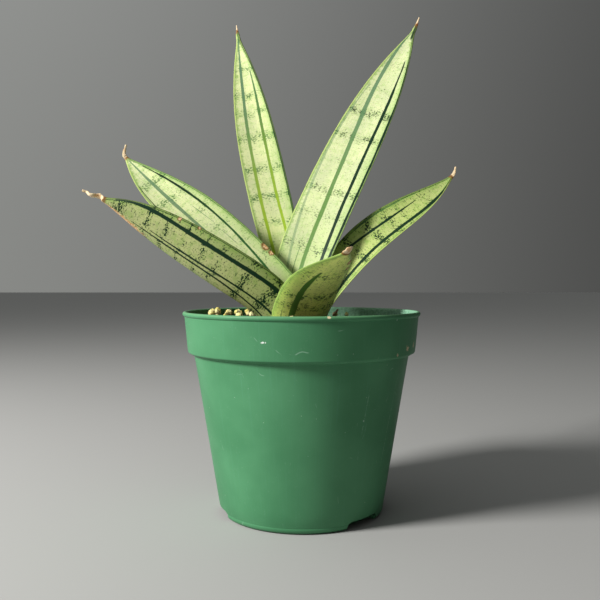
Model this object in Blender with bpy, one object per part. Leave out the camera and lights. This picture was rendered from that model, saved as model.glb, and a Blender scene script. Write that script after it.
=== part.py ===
"""A snake plant in a round nursery pot.

The pot stands on z = 0 with its axis on +Z; the short leaf leans towards -Y.
All sizes are in metres.
"""
import math

import bmesh
import bpy
import numpy as np
from mathutils import Vector
from mathutils.bvhtree import BVHTree

MM = 0.001
GAP = 0.3 * MM                    # air kept between two pieces that touch

# ---- nursery pot ----
POT_HEIGHT = 84.0 * MM
RIM_RADIUS = 50.0 * MM            # outside of the rolled lip
BASE_RADIUS = 34.3 * MM           # outside of the wall carried down to the floor plane
WALL = 1.1 * MM
FLOOR = 1.3 * MM
LIP_HEIGHT = 1.9 * MM
LIP_PROUD = 0.8 * MM              # the lip stands this far out of the collar
COLLAR_DEPTH = 17.0 * MM          # crest of the lip down to the collar's lower edge
COLLAR_DRAFT = 1.4 * MM           # the collar narrows by this much on its way down
COLLAR_STEP = 2.5 * MM            # the collar's lower edge stands out of the wall
CORNER = 2.0 * MM                 # rounding where the wall meets the floor
POT_SEGMENTS = 64

# ---- drain notches round the foot ----
NOTCH_COUNT = 3
NOTCH_FIRST = math.radians(-44.0)
NOTCH_WIDTH = 18.0 * MM
NOTCH_HEIGHT = 3.3 * MM
NOTCH_REACH = 5.0 * MM            # how far the notch runs in under the floor

# ---- potting mix ----
SOIL_DROP = 5.4 * MM              # soil at the wall, below the crest of the lip
SOIL_MOUND = 3.2 * MM
SOIL_MOUND_X = -6.0 * MM
SOIL_MOUND_SPREAD = 34.0 * MM
SOIL_TILT = 0.012
SOIL_SEGMENTS = 44
SOIL_RINGS = 8

# ---- rootstock ----
CROWN_DEPTH = 14.0 * MM           # leaf bases start this far below the crest
STOCK_RADII = (15.0 * MM, 22.0 * MM, 8.5 * MM)
STOCK_DROP = 6.0 * MM             # centre of the stock below the leaf bases
ROOT_COUNT = 6
ROOT_RADIUS = 1.5 * MM
ROOT_REACH = 23.0 * MM
ROOT_DEPTH = 44.0 * MM

# ---- leaves ----
LEAF_THICK_BASE = 2.6 * MM
LEAF_THICK_MID = 2.3 * MM
LEAF_THICK_TIP = 1.2 * MM
LEAF_STATIONS = 32
LEAF_ACROSS = 8

# One line per leaf. at = base point (mm), heading = azimuth at base, at tip and
# sideways bow, rise = elevation at base, at tip, bow and the extra steepness where
# the leaf leaves the stock, width = base share, widest half-width (mm), where it is
# widest, taper power and where the dried awl begins, roll = at base and tip,
# cup = half angle across the blade at base, middle and tip, awl = (half-width mm, lift).
LEAVES = {
    "leaf_left_low": dict(
        at=(-6.5, -13.3), heading=(195.0, 181.5, -6.0), rise=(43.0, 20.9, -4.3, 61.0),
        length=107.0, width=(0.78, 11.4, 0.25, 3.6, 0.92), roll=(-56.0, -54.0),
        cup=(60.0, 29.0, 22.0), awl=(0.9, 0.0)),
    "leaf_left_high": dict(
        at=(-1.0, -3.3), heading=(166.5, 155.0, 6.5), rise=(29.0, 48.5, 6.0, 71.5),
        length=124.0, width=(0.80, 12.2, 0.51, 2.25, 0.952), roll=(47.0, 53.0),
        cup=(50.0, 25.0, 22.0), awl=(0.9, 60.0)),
    "leaf_tall_narrow": dict(
        at=(-7.0, 16.5), heading=(125.0, 116.5, 5.5), rise=(71.0, 67.0, -2.5, 45.0),
        length=163.0, width=(0.40, 9.9, 0.42, 2.8, 0.955), roll=(28.0, 36.0),
        cup=(35.0, 19.0, 22.0), awl=(0.9, 5.0)),
    "leaf_tall_broad": dict(
        at=(-0.5, 7.8), heading=(31.5, 38.5, 2.5), rise=(59.0, 57.5, 1.0, 64.0),
        length=179.5, width=(0.74, 13.0, 0.32, 3.1, 0.955), roll=(-36.0, -33.0),
        cup=(30.0, 13.0, 22.0), awl=(0.9, 8.0)),
    "leaf_right": dict(
        at=(6.0, 9.5), heading=(9.0, 19.5, -6.5), rise=(34.3, 48.2, 10.6, 87.0),
        length=107.8, width=(0.54, 9.8, 0.46, 2.1, 0.958), roll=(-46.0, -56.0),
        cup=(35.0, 30.0, 22.0), awl=(0.9, 28.0)),
    "leaf_front_short": dict(
        at=(-2.0, -18.0), heading=(-72.5, -63.5, 4.5), rise=(50.0, 28.5, 4.5, 16.5),
        length=59.4, width=(0.91, 13.0, 0.36, 3.1, 0.955), roll=(9.0, -9.0),
        cup=(60.0, 34.0, 22.0), awl=(1.6, 5.0)),
}

# ---- loose pieces on the soil ----
# share of the soil radius along x and y, and the radius (mm) of the grains in view
SET_GRAINS = (
    (-0.80, -0.02, 2.2), (-0.70, 0.34, 1.5), (-0.585, 0.14, 1.9), (-0.50, 0.24, 1.6),
    (-0.44, -0.04, 1.5), (-0.69, -0.26, 1.2), (0.42, 0.26, 1.4),
)
GRAIN_COUNT = 24
CHIP_SIZE = (4.6 * MM, 2.4 * MM, 1.0 * MM)
# share of the soil radius along x and y, turn and tilt of each bark chip
SET_CHIPS = ((0.32, 0.30, 0.3, 0.85), (-0.20, -0.62, 2.1, 0.15), (0.12, 0.80, 1.2, 0.25))
FILL_FROM = math.radians(55.0)    # the remaining grains leave the +X side bare
FILL_SWEEP = math.radians(255.0)

COLOURS = {
    "pot": ((0.055, 0.235, 0.105, 1.0), 0.42),
    "soil": ((0.060, 0.040, 0.026, 1.0), 0.95),
    "stock": ((0.560, 0.420, 0.220, 1.0), 0.70),
    "leaf": ((0.480, 0.600, 0.330, 1.0), 0.45),
    "pumice": ((0.720, 0.600, 0.330, 1.0), 0.85),
    "bark": ((0.210, 0.110, 0.060, 1.0), 0.80),
}


def clear_file():
    for obj in list(bpy.data.objects):
        bpy.data.objects.remove(obj, do_unlink=True)


def add_object(name, verts, faces, kind, smooth_angle=40.0):
    """Makes one closed, outward-facing mesh object with a material of its own."""
    mesh = bpy.data.meshes.new(name)
    mesh.from_pydata([tuple(v) for v in verts], [], [tuple(f) for f in faces])
    bm = bmesh.new()
    bm.from_mesh(mesh)
    bmesh.ops.recalc_face_normals(bm, faces=bm.faces)
    bm.to_mesh(mesh)
    bm.free()
    mesh.polygons.foreach_set("use_smooth", [True] * len(mesh.polygons))
    mesh.set_sharp_from_angle(angle=math.radians(smooth_angle))
    obj = bpy.data.objects.new(name, mesh)
    bpy.context.scene.collection.objects.link(obj)
    if kind is None:
        obj.hide_render = True
        obj.display_type = "WIRE"
        return obj
    colour, roughness = COLOURS[kind]
    material = bpy.data.materials.new(name + "_" + kind)
    material.use_nodes = True
    shader = material.node_tree.nodes["Principled BSDF"]
    shader.inputs["Base Color"].default_value = colour
    shader.inputs["Roughness"].default_value = roughness
    shader.inputs["Metallic"].default_value = 0.0
    mesh.materials.append(material)
    return obj


def combine(obj, tool, operation):
    """Cuts the tool out of the object, or joins it on."""
    mod = obj.modifiers.new(operation.lower() + "_" + tool.name, "BOOLEAN")
    mod.operation = operation
    mod.solver = "EXACT"
    mod.object = tool


def ease(value):
    value = np.clip(value, 0.0, 1.0)
    return value * value * (3.0 - 2.0 * value)


def loft(rings, start=None, end=None, crescent=False):
    """Faces between equal rings; an end closes on a point, a flat face or a crescent."""
    count = len(rings[0])
    verts = [tuple(p) for ring in rings for p in ring]
    faces = []
    for row in range(len(rings) - 1):
        for k in range(count):
            a = row * count + k
            b = row * count + (k + 1) % count
            faces.append((a, b, b + count, a + count))
    last = (len(rings) - 1) * count
    for point, first in ((start, 0), (end, last)):
        ring = list(range(first, first + count))
        if crescent:
            half = count // 2
            faces.append((ring[0], ring[1], ring[-1]))
            faces.append((ring[half - 1], ring[half], ring[half + 1]))
            for k in range(1, half - 1):
                faces.append((ring[k], ring[k + 1], ring[-k - 1], ring[-k]))
            continue
        if point is None:
            faces.append(ring)
            continue
        verts.append(tuple(point))
        for k in range(count):
            faces.append((ring[k], ring[(k + 1) % count], len(verts) - 1))
    return verts, faces


def spin(profile, segments):
    """Turns an (r, z) profile round the axis; it starts and ends on the axis."""
    rings = []
    for radius, height in profile[1:-1]:
        ring = []
        for k in range(segments):
            angle = 2.0 * math.pi * k / segments
            ring.append((radius * math.cos(angle), radius * math.sin(angle), height))
        rings.append(ring)
    return loft(rings, (0.0, 0.0, profile[0][1]), (0.0, 0.0, profile[-1][1]))


# ---------------------------------------------------------------- pot

COLLAR_LOW = POT_HEIGHT - COLLAR_DEPTH
COLLAR_TOP_RADIUS = RIM_RADIUS - LIP_PROUD
COLLAR_LOW_RADIUS = COLLAR_TOP_RADIUS - COLLAR_DRAFT
WALL_TOP_RADIUS = COLLAR_LOW_RADIUS - COLLAR_STEP


def wall_radius(height):
    """Outside radius of the tapered wall below the collar."""
    return BASE_RADIUS + (WALL_TOP_RADIUS - BASE_RADIUS) * height / COLLAR_LOW


def inner_radius(height):
    """Inside radius of the pot at a height above the floor corner."""
    if height < COLLAR_LOW - WALL:
        return wall_radius(height) - WALL
    share = (height - COLLAR_LOW) / (COLLAR_DEPTH - LIP_HEIGHT)
    return COLLAR_LOW_RADIUS + COLLAR_DRAFT * share - WALL


def arc(centre, radius, first, last, steps):
    points = []
    for k in range(steps + 1):
        angle = math.radians(first + (last - first) * k / steps)
        points.append((centre[0] + radius * math.cos(angle),
                       centre[1] + radius * math.sin(angle)))
    return points


def pot_profile():
    lip_low = POT_HEIGHT - LIP_HEIGHT
    bead = 0.5 * LIP_HEIGHT
    bead_centre = (RIM_RADIUS - bead, POT_HEIGHT - bead)
    points = [(0.0, 0.0)]
    points += arc((wall_radius(CORNER) - CORNER, CORNER), CORNER, -90.0, 0.0, 4)
    points.append((WALL_TOP_RADIUS, COLLAR_LOW - 0.4 * MM))
    points.append((WALL_TOP_RADIUS + 0.4 * MM, COLLAR_LOW))
    points += arc((COLLAR_LOW_RADIUS - 0.8 * MM, COLLAR_LOW + 0.8 * MM), 0.8 * MM,
                  -90.0, 0.0, 3)
    points.append((COLLAR_TOP_RADIUS, lip_low - 0.1 * MM))
    points += arc(bead_centre, bead, -60.0, 170.0, 8)
    points.append((inner_radius(lip_low), lip_low))
    points.append((inner_radius(COLLAR_LOW), COLLAR_LOW))
    points.append((inner_radius(COLLAR_LOW) - 0.5 * MM, COLLAR_LOW - WALL))
    points.append((WALL_TOP_RADIUS - WALL, COLLAR_LOW - 1.4 * WALL))
    inside = CORNER - 0.6 * WALL
    low = FLOOR + inside
    points += arc((inner_radius(low) - inside, low), inside, 0.0, -90.0, 3)
    points.append((0.0, FLOOR))
    return points


def notch_cutter(index):
    """An arched block across the foot of the wall."""
    angle = NOTCH_FIRST + 2.0 * math.pi * index / NOTCH_COUNT
    half = 0.5 * NOTCH_WIDTH
    rounding = min(2.4 * MM, 0.9 * NOTCH_HEIGHT)
    outline = [(-half, -2.0 * MM), (half, -2.0 * MM)]
    outline += arc((half - rounding, NOTCH_HEIGHT - rounding), rounding, 0.0, 90.0, 4)
    outline += arc((rounding - half, NOTCH_HEIGHT - rounding), rounding, 90.0, 180.0, 4)
    along = Vector((math.cos(angle), math.sin(angle), 0.0))
    across = Vector((-math.sin(angle), math.cos(angle), 0.0))
    rings = []
    for reach in (BASE_RADIUS - NOTCH_REACH, BASE_RADIUS + 4.0 * MM):
        rings.append([along * reach + across * u + Vector((0.0, 0.0, v)) for u, v in outline])
    verts, faces = loft(rings)
    return add_object("notch_cutter_%d" % (index + 1), verts, faces, None)


def build_pot():
    verts, faces = spin(pot_profile(), POT_SEGMENTS)
    pot = add_object("nursery_pot", verts, faces, "pot", 35.0)
    for index in range(NOTCH_COUNT):
        combine(pot, notch_cutter(index), "DIFFERENCE")


# ---------------------------------------------------------------- leaves

def leaf_frames(leaf, count, lead=0.0):
    """Centre line, side and face directions, half-width and cup angle along a leaf."""
    turn, rise, width, roll, cup = (leaf[k] for k in ("heading", "rise", "width", "roll", "cup"))
    share, widest, peak, power, awl_start = width
    t = 1.0 - (1.0 - np.linspace(0.0, 1.0, count)) ** 1.25
    heading = turn[0] + (turn[1] - turn[0]) * t + turn[2] * np.sin(math.pi * t)
    lift = ease((t - awl_start) / (1.0 - awl_start) * 2.0) * leaf["awl"][1]
    climb = (rise[0] + (rise[1] - rise[0]) * t + rise[2] * np.sin(2.0 * math.pi * t)
             + rise[3] * np.exp(-t / 0.1) + lift)
    a, e = np.radians(heading), np.radians(climb)
    along = np.stack([np.cos(e) * np.cos(a), np.cos(e) * np.sin(a), np.sin(e)], -1)
    step = 0.5 * (along[1:] + along[:-1]) * np.diff(t)[:, None] * leaf["length"] * MM
    start = np.array([leaf["at"][0] * MM, leaf["at"][1] * MM, POT_HEIGHT - CROWN_DEPTH])
    centre = start + np.vstack([np.zeros(3), np.cumsum(step, 0)])
    centre[0] -= along[0] * lead
    flat = np.stack([np.sin(a), -np.cos(a), 0.0 * a], -1)
    up = np.cross(flat, along)
    r = np.radians(roll[0] + (roll[1] - roll[0]) * t)[:, None]
    side = np.cos(r) * flat + np.sin(r) * up
    face = np.cos(r) * up - np.sin(r) * flat
    swell = share + (1.0 - share) * np.sin(0.5 * math.pi * np.clip(t / peak, 0.0, 1.0))
    taper = 1.0 - np.clip((t - peak) / (awl_start - peak), 0.0, 1.0) ** power
    blade = np.where(t < peak, swell, taper) * widest * MM
    awl = leaf["awl"][0] * MM * (1.0 - 0.65 * ease((t - awl_start) / (1.0 - awl_start)))
    half = np.hypot(blade, awl * ease(t / 0.3))
    low = cup[0] + (cup[1] - cup[0]) * ease(t / 0.4)
    high = cup[1] + (cup[2] - cup[1]) * ease((t - 0.4) / 0.6)
    bend = np.radians(np.where(t < 0.4, low, high))
    thick = LEAF_THICK_BASE + (LEAF_THICK_MID - LEAF_THICK_BASE) * ease(t / 0.35)
    thick = thick + (LEAF_THICK_TIP - LEAF_THICK_MID) * ease((t - 0.35) / 0.6)
    thick = np.minimum(thick, 2.0 * half)
    return centre, side, face, half, bend, thick


def leaf_shell(leaf, grow=0.0):
    """A channelled blade with rounded edges; grow swells it for a clearance cut."""
    centre, side, face, half, bend, thick = leaf_frames(leaf, LEAF_STATIONS, grow)
    across = np.sin(np.linspace(-0.5 * math.pi, 0.5 * math.pi, LEAF_ACROSS + 1))
    shares = [(s, 0.4) for s in across] + [(s, -0.6) for s in across[-2:0:-1]]
    rings = []
    for i in range(LEAF_STATIONS):
        radius = half[i] / bend[i]
        wider = 1.0 + grow / half[i]
        ring = []
        for s, share in shares:
            body = (1.0 - min(1.0, abs(s) * wider) ** 2.4) ** 0.6
            skin = math.copysign(grow * math.sqrt(1.0 - s ** 6), share)
            reach = radius - share * thick[i] * body - skin
            angle = bend[i] * wider * s
            ring.append(centre[i] + side[i] * reach * math.sin(angle)
                        + face[i] * (radius - reach * math.cos(angle)))
        rings.append(ring)
    return loft(rings, crescent=True)


def build_leaves():
    tools = []
    for name, leaf in LEAVES.items():
        verts, faces = leaf_shell(leaf)
        add_object(name, verts, faces, "leaf", 60.0)
        verts, faces = leaf_shell(leaf, GAP)
        tools.append(add_object("socket_" + name, verts, faces, None))
    return tools


# ---------------------------------------------------------------- rootstock

STOCK_CENTRE = Vector((0.0, -1.0 * MM, POT_HEIGHT - CROWN_DEPTH - STOCK_DROP))


def stock_body(grow):
    """A squat rounded rhizome."""
    rings = []
    rows = 9
    for i in range(1, rows):
        tilt = -0.5 * math.pi + math.pi * i / rows
        ring = []
        for k in range(24):
            turn = 2.0 * math.pi * k / 24
            ring.append(STOCK_CENTRE + Vector((
                (STOCK_RADII[0] + grow) * math.cos(tilt) * math.cos(turn),
                (STOCK_RADII[1] + grow) * math.cos(tilt) * math.sin(turn),
                (STOCK_RADII[2] + grow) * math.sin(tilt))))
        rings.append(ring)
    tall = Vector((0.0, 0.0, STOCK_RADII[2] + grow))
    return loft(rings, STOCK_CENTRE - tall, STOCK_CENTRE + tall)


def root_tube(index, grow):
    """One thick root running out and down from the rhizome."""
    turn = 2.0 * math.pi * (index + 0.3) / ROOT_COUNT
    depth = ROOT_DEPTH * (1.0 - 0.10 * (index % 3))
    rings = []
    steps = 7
    for i in range(steps):
        u = i / (steps - 1)
        swing = turn + 0.30 * math.sin(4.0 * u + index)
        out = 0.25 * ROOT_REACH + 0.75 * ROOT_REACH * math.sin(0.5 * math.pi * u)
        centre = STOCK_CENTRE + Vector((out * math.cos(swing), out * math.sin(swing), -depth * u))
        radius = ROOT_RADIUS * (1.0 - 0.6 * u) + grow
        rings.append([centre + Vector((radius * math.cos(q), radius * math.sin(q), 0.0))
                      for q in (math.pi * k / 3.0 for k in range(6))])
    return loft(rings, rings[0][0] * 0.5 + rings[0][3] * 0.5,
                rings[-1][0] * 0.5 + rings[-1][3] * 0.5 - Vector((0.0, 0.0, grow)))


def root_tool(name, grow):
    verts, faces = [], []
    for index in range(ROOT_COUNT):
        more_verts, more_faces = root_tube(index, grow)
        faces += [[k + len(verts) for k in face] for face in more_faces]
        verts += more_verts
    return add_object(name, verts, faces, None)


def build_rootstock(sockets):
    verts, faces = stock_body(0.0)
    stock = add_object("rootstock", verts, faces, "stock", 60.0)
    combine(stock, root_tool("root_guide", 0.0), "UNION")
    for socket in sockets:
        combine(stock, socket, "DIFFERENCE")
    verts, faces = stock_body(GAP)
    return [add_object("stock_socket", verts, faces, None), root_tool("root_socket", GAP)]


# ---------------------------------------------------------------- potting mix

def soil_height(x, y):
    """Top of the potting mix: a low mound, a little higher on the left."""
    spread = ((x - SOIL_MOUND_X) ** 2 + y ** 2) / SOIL_MOUND_SPREAD ** 2
    return POT_HEIGHT - SOIL_DROP + SOIL_MOUND * math.exp(-spread) - SOIL_TILT * x


SOIL_RADIUS = inner_radius(POT_HEIGHT - SOIL_DROP) - GAP


def build_soil(tools):
    """The plug that fills the pot, with sockets for the plant."""
    floor = FLOOR + GAP
    step = COLLAR_LOW - WALL
    sides = [(0.5 * BASE_RADIUS, floor), (inner_radius(floor + CORNER) - GAP - CORNER, floor)]
    for height in (floor + 0.5 * CORNER, floor + CORNER, 0.5 * (floor + step)):
        rounding = max(0.0, floor + CORNER - height)
        sides.append((inner_radius(height) - GAP - 0.4 * rounding, height))
    sides.append((inner_radius(step - 0.4 * WALL) - GAP, step - GAP))
    sides.append((inner_radius(step - 0.4 * WALL) - GAP, COLLAR_LOW + GAP))
    sides.append((inner_radius(COLLAR_LOW) - 0.5 * MM - GAP, COLLAR_LOW + GAP))
    rings = []
    turns = [2.0 * math.pi * k / SOIL_SEGMENTS for k in range(SOIL_SEGMENTS)]
    for radius, height in sides:
        rings.append([(radius * math.cos(a), radius * math.sin(a), height) for a in turns])
    for i in range(SOIL_RINGS):
        radius = SOIL_RADIUS * (1.0 - i / SOIL_RINGS)
        points = [(radius * math.cos(a), radius * math.sin(a)) for a in turns]
        rings.append([(x, y, soil_height(x, y)) for x, y in points])
    verts, faces = loft(rings, (0.0, 0.0, floor), (0.0, 0.0, soil_height(0.0, 0.0)))
    soil = add_object("potting_mix", verts, faces, "soil", 50.0)
    for tool in tools:
        combine(soil, tool, "DIFFERENCE")


# ---------------------------------------------------------------- loose grains and chips

def wobble(seed, index):
    """A repeatable value between 0 and 1."""
    value = math.sin(12.9898 * seed + 78.233 * index + 4.1) * 43758.5453
    return value - math.floor(value)


def grain_points(radius, seed):
    """A rounded, uneven stone about a point."""
    bm = bmesh.new()
    bmesh.ops.create_icosphere(bm, subdivisions=2, radius=radius)
    stretch = [0.82 + 0.30 * wobble(seed, k) for k in range(3)]
    for vert in bm.verts:
        d = vert.co.normalized()
        lump = 1.0 + 0.10 * math.sin(3.0 * d.x + seed) * math.cos(3.4 * d.y - seed)
        lump += 0.06 * math.sin(5.0 * d.z + 2.0 * seed)
        vert.co = Vector([vert.co[k] * stretch[k] * lump for k in range(3)])
    verts = [vert.co.copy() for vert in bm.verts]
    faces = [[vert.index for vert in face.verts] for face in bm.faces]
    bm.free()
    return verts, faces


def chip_points(seed):
    """A flat splinter of bark with uneven, chamfered edges."""
    outline = []
    for k in range(9):
        angle = 2.0 * math.pi * k / 9
        uneven = 0.82 + 0.36 * wobble(seed, k)
        outline.append((0.5 * CHIP_SIZE[0] * uneven * math.cos(angle),
                        0.5 * CHIP_SIZE[1] * uneven * math.sin(angle)))
    half = 0.5 * CHIP_SIZE[2]
    rings = []
    for size, height in ((0.80, -half), (1.0, -0.35 * half), (1.0, 0.4 * half), (0.78, half)):
        rings.append([Vector((x * size, y * size, height + 14.0 * x * x)) for x, y in outline])
    return loft(rings, Vector((0.0, 0.0, -half)), Vector((0.0, 0.0, half)))


def rest_on_soil(verts, x, y, turn, tilt):
    """Tilts and turns the points, moves them to x, y and lets them down onto the soil."""
    c, s = math.cos(tilt), math.sin(tilt)
    verts = [(v[0] * c - v[2] * s, v[1], v[0] * s + v[2] * c) for v in verts]
    c, s = math.cos(turn), math.sin(turn)
    placed = [Vector((x + v[0] * c - v[1] * s, y + v[0] * s + v[1] * c, v[2])) for v in verts]
    clear = min(v.z - soil_height(v.x, v.y) for v in placed)
    lift = Vector((0.0, 0.0, 1.25 * GAP - clear))
    return [v + lift for v in placed]


def is_free(centre, radius, plant, taken):
    """True where a grain clears the plant, the wall and the grains laid before."""
    if math.hypot(centre.x, centre.y) + radius + 2.0 * GAP > SOIL_RADIUS:
        return False
    for tree in plant:
        spot, normal, _, distance = tree.find_nearest(centre)
        inside = (centre - spot).dot(normal) < 0.0
        if inside or distance < radius + 2.0 * GAP:
            return False
    return all((centre - other).length > radius + size + 2.0 * GAP for other, size in taken)


def lay_piece(name, kind, points, wish, radius, plant, taken, turn, tilt=0.0):
    """Lays a piece at the wished spot, or at the nearest free one spiralling outward."""
    verts, faces = points
    for attempt in range(4000):
        away = 0.35 * MM * math.sqrt(attempt)
        angle = 2.399963 * attempt
        x = wish[0] + away * math.cos(angle)
        y = wish[1] + away * math.sin(angle)
        placed = rest_on_soil(verts, x, y, turn, tilt)
        centre = sum(placed, Vector()) / len(placed)
        if is_free(centre, radius, plant, taken):
            taken.append((centre, radius))
            add_object(name, placed, faces, kind, 80.0)
            return
    raise ValueError("no free spot on the soil for " + name)


def build_loose_pieces():
    plant = []
    for leaf in LEAVES.values():
        verts, faces = leaf_shell(leaf)
        bm = bmesh.new()
        corners = [bm.verts.new(v) for v in verts]
        for face in faces:
            bm.faces.new([corners[k] for k in face])
        bmesh.ops.recalc_face_normals(bm, faces=bm.faces)
        plant.append(BVHTree.FromBMesh(bm))
        bm.free()
    taken = []
    for index, (fx, fy, turn, tilt) in enumerate(SET_CHIPS):
        wish = (fx * SOIL_RADIUS, fy * SOIL_RADIUS)
        lay_piece("bark_chip_%d" % (index + 1), "bark", chip_points(index + 1.0), wish,
                  0.62 * CHIP_SIZE[0], plant, taken, turn, tilt)
    for index in range(GRAIN_COUNT):
        if index < len(SET_GRAINS):
            fx, fy, radius = SET_GRAINS[index]
            radius *= MM
        else:
            reach = 0.42 + 0.50 * wobble(3.0, index)
            angle = FILL_FROM + FILL_SWEEP * ((0.618034 * index) % 1.0)
            fx, fy = reach * math.cos(angle), reach * math.sin(angle)
            radius = (1.2 + 1.1 * wobble(5.0, index)) * MM
        wish = (fx * SOIL_RADIUS, fy * SOIL_RADIUS)
        lay_piece("pumice_grain_%02d" % (index + 1), "pumice", grain_points(radius, index + 1.0),
                  wish, 1.25 * radius, plant, taken, 0.7 * index)


def main():
    clear_file()
    build_pot()
    sockets = build_leaves()
    stock_tools = build_rootstock(sockets)
    build_soil(sockets + stock_tools)
    build_loose_pieces()


main()
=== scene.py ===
"""The finished look of the potted snake plant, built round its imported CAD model."""

import math

import bmesh
import bpy
import numpy as np
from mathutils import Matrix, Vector


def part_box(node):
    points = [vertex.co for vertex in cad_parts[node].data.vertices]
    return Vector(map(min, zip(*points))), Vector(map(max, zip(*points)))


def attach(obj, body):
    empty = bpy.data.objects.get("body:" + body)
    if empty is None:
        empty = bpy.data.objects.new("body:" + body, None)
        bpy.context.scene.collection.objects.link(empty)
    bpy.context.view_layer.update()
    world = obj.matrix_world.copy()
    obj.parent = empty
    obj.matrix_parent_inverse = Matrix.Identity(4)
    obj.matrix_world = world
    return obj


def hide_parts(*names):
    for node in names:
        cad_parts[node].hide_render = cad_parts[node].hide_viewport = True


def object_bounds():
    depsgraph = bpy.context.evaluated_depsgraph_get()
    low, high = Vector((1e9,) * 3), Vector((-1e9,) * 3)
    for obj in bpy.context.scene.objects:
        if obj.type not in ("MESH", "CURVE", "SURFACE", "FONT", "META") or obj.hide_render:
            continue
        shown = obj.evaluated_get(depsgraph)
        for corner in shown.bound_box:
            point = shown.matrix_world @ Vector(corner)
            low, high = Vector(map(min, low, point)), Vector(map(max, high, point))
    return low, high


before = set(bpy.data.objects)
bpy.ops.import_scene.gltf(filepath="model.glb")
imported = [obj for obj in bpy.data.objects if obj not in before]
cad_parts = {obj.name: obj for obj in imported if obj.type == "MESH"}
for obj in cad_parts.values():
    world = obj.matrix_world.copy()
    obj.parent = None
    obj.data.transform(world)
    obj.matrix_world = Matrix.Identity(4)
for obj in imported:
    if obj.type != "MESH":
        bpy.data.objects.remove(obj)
CAD_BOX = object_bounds()

MM = 0.001
POT_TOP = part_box("nursery_pot")[1].z
RIM_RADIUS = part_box("nursery_pot")[1].x
SOIL_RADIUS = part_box("potting_mix")[1].x


# ------------------------------------------------------------------ node helpers

class Net:
    """Adds nodes to a shader or geometry tree and links or sets their inputs."""

    def __init__(self, tree):
        self.tree = tree

    def put(self, socket, value):
        if value is None:
            return
        if isinstance(value, bpy.types.NodeSocket):
            self.tree.links.new(value, socket)
        elif socket.type == "RGBA" and len(value) == 3:
            socket.default_value = (*value, 1.0)
        else:
            socket.default_value = value

    def add(self, kind, values=(), **settings):
        node = self.tree.nodes.new(kind)
        for key, value in settings.items():
            setattr(node, key, value)
        pairs = values.items() if isinstance(values, dict) else enumerate(values)
        for key, value in pairs:
            self.put(node.inputs[key], value)
        return node

    def math(self, operation, *values):
        return self.add("ShaderNodeMath", values, operation=operation).outputs[0]

    def times(self, first, second):
        return self.math("MULTIPLY", first, second)

    def plus(self, first, second):
        return self.math("ADD", first, second)

    def minus(self, first, second):
        return self.math("SUBTRACT", first, second)

    def times_plus(self, first, second, third):
        return self.math("MULTIPLY_ADD", first, second, third)

    def vector(self, x, y, z):
        return self.add("ShaderNodeCombineXYZ", (x, y, z)).outputs[0]

    def vmath(self, operation, *values):
        node = self.add("ShaderNodeVectorMath", values, operation=operation)
        return node.outputs[1] if operation in ("DOT_PRODUCT", "LENGTH") else node.outputs[0]

    def scale(self, vector, factor):
        node = self.add("ShaderNodeVectorMath", operation="SCALE")
        self.put(node.inputs[0], vector)
        self.put(node.inputs["Scale"], factor)
        return node.outputs[0]

    def step(self, value, low, high, start=0.0, end=1.0):
        """Smooth change from start to end as value goes from low to high."""
        node = self.add("ShaderNodeMapRange", (value, low, high, start, end),
            interpolation_type="SMOOTHSTEP")
        return node.outputs[0]

    def fade(self, value, low, high):
        return self.step(value, low, high, 1.0, 0.0)

    def noise(self, vector, size, detail=2.0, rough=0.5):
        node = self.add("ShaderNodeTexNoise", {"Vector": vector, "Scale": size, "Detail": detail,
                "Roughness": rough})
        return node.outputs["Fac"]

    def cells(self, vector, size, feature="F1"):
        node = self.add("ShaderNodeTexVoronoi", {"Vector": vector, "Scale": size}, feature=feature)
        return node

    def mix(self, factor, first, second):
        node = self.add("ShaderNodeMix", data_type="RGBA", clamp_factor=True)
        for socket, value in ((node.inputs[0], factor), (node.inputs[6], first),
            (node.inputs[7], second)):
            self.put(socket, value)
        return node.outputs[2]

    def most(self, values):
        total = values[0]
        for value in values[1:]:
            total = self.math("MAXIMUM", total, value)
        return total

    def curve(self, value, stops):
        """A grey ramp through (position, level) stops."""
        node = self.add("ShaderNodeValToRGB", (value,))
        ramp = node.color_ramp
        ramp.interpolation = "EASE"
        while len(ramp.elements) > 1:
            ramp.elements.remove(ramp.elements[0])
        ramp.elements[0].position = stops[0][0]
        ramp.elements[0].color = (stops[0][1],) * 3 + (1.0,)
        for position, level in stops[1:]:
            ramp.elements.new(position).color = (level,) * 3 + (1.0,)
        return node.outputs[0]


def new_material(name):
    """An empty material with one Principled shader; returns it, its net and the shader."""
    material = bpy.data.materials.new(name)
    material.use_nodes = True
    return material, Net(material.node_tree), material.node_tree.nodes["Principled BSDF"]


def set_surface(net, shader, colour, rough, height, strength, distance):
    net.put(shader.inputs["Base Color"], colour)
    net.put(shader.inputs["Roughness"], rough)
    bump = net.add("ShaderNodeBump", {"Strength": strength, "Distance": distance, "Height": height})
    net.put(shader.inputs["Normal"], bump.outputs[0])


def object_mm(net):
    """Object coordinates in millimetres."""
    return net.scale(net.add("ShaderNodeTexCoord").outputs["Object"], 1000.0)


def new_geometry_tree(name, inputs):
    """A geometry tree with named inputs after the geometry, and its group input node."""
    tree = bpy.data.node_groups.new(name, "GeometryNodeTree")
    face = tree.interface
    face.new_socket("Geometry", in_out="INPUT", socket_type="NodeSocketGeometry")
    for label, kind, value in inputs:
        socket = face.new_socket(label, in_out="INPUT", socket_type="NodeSocket" + kind)
        if value is not None:
            socket.default_value = value
    face.new_socket("Geometry", in_out="OUTPUT", socket_type="NodeSocketGeometry")
    net = Net(tree)
    return tree, net, net.add("NodeGroupInput").outputs


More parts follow.
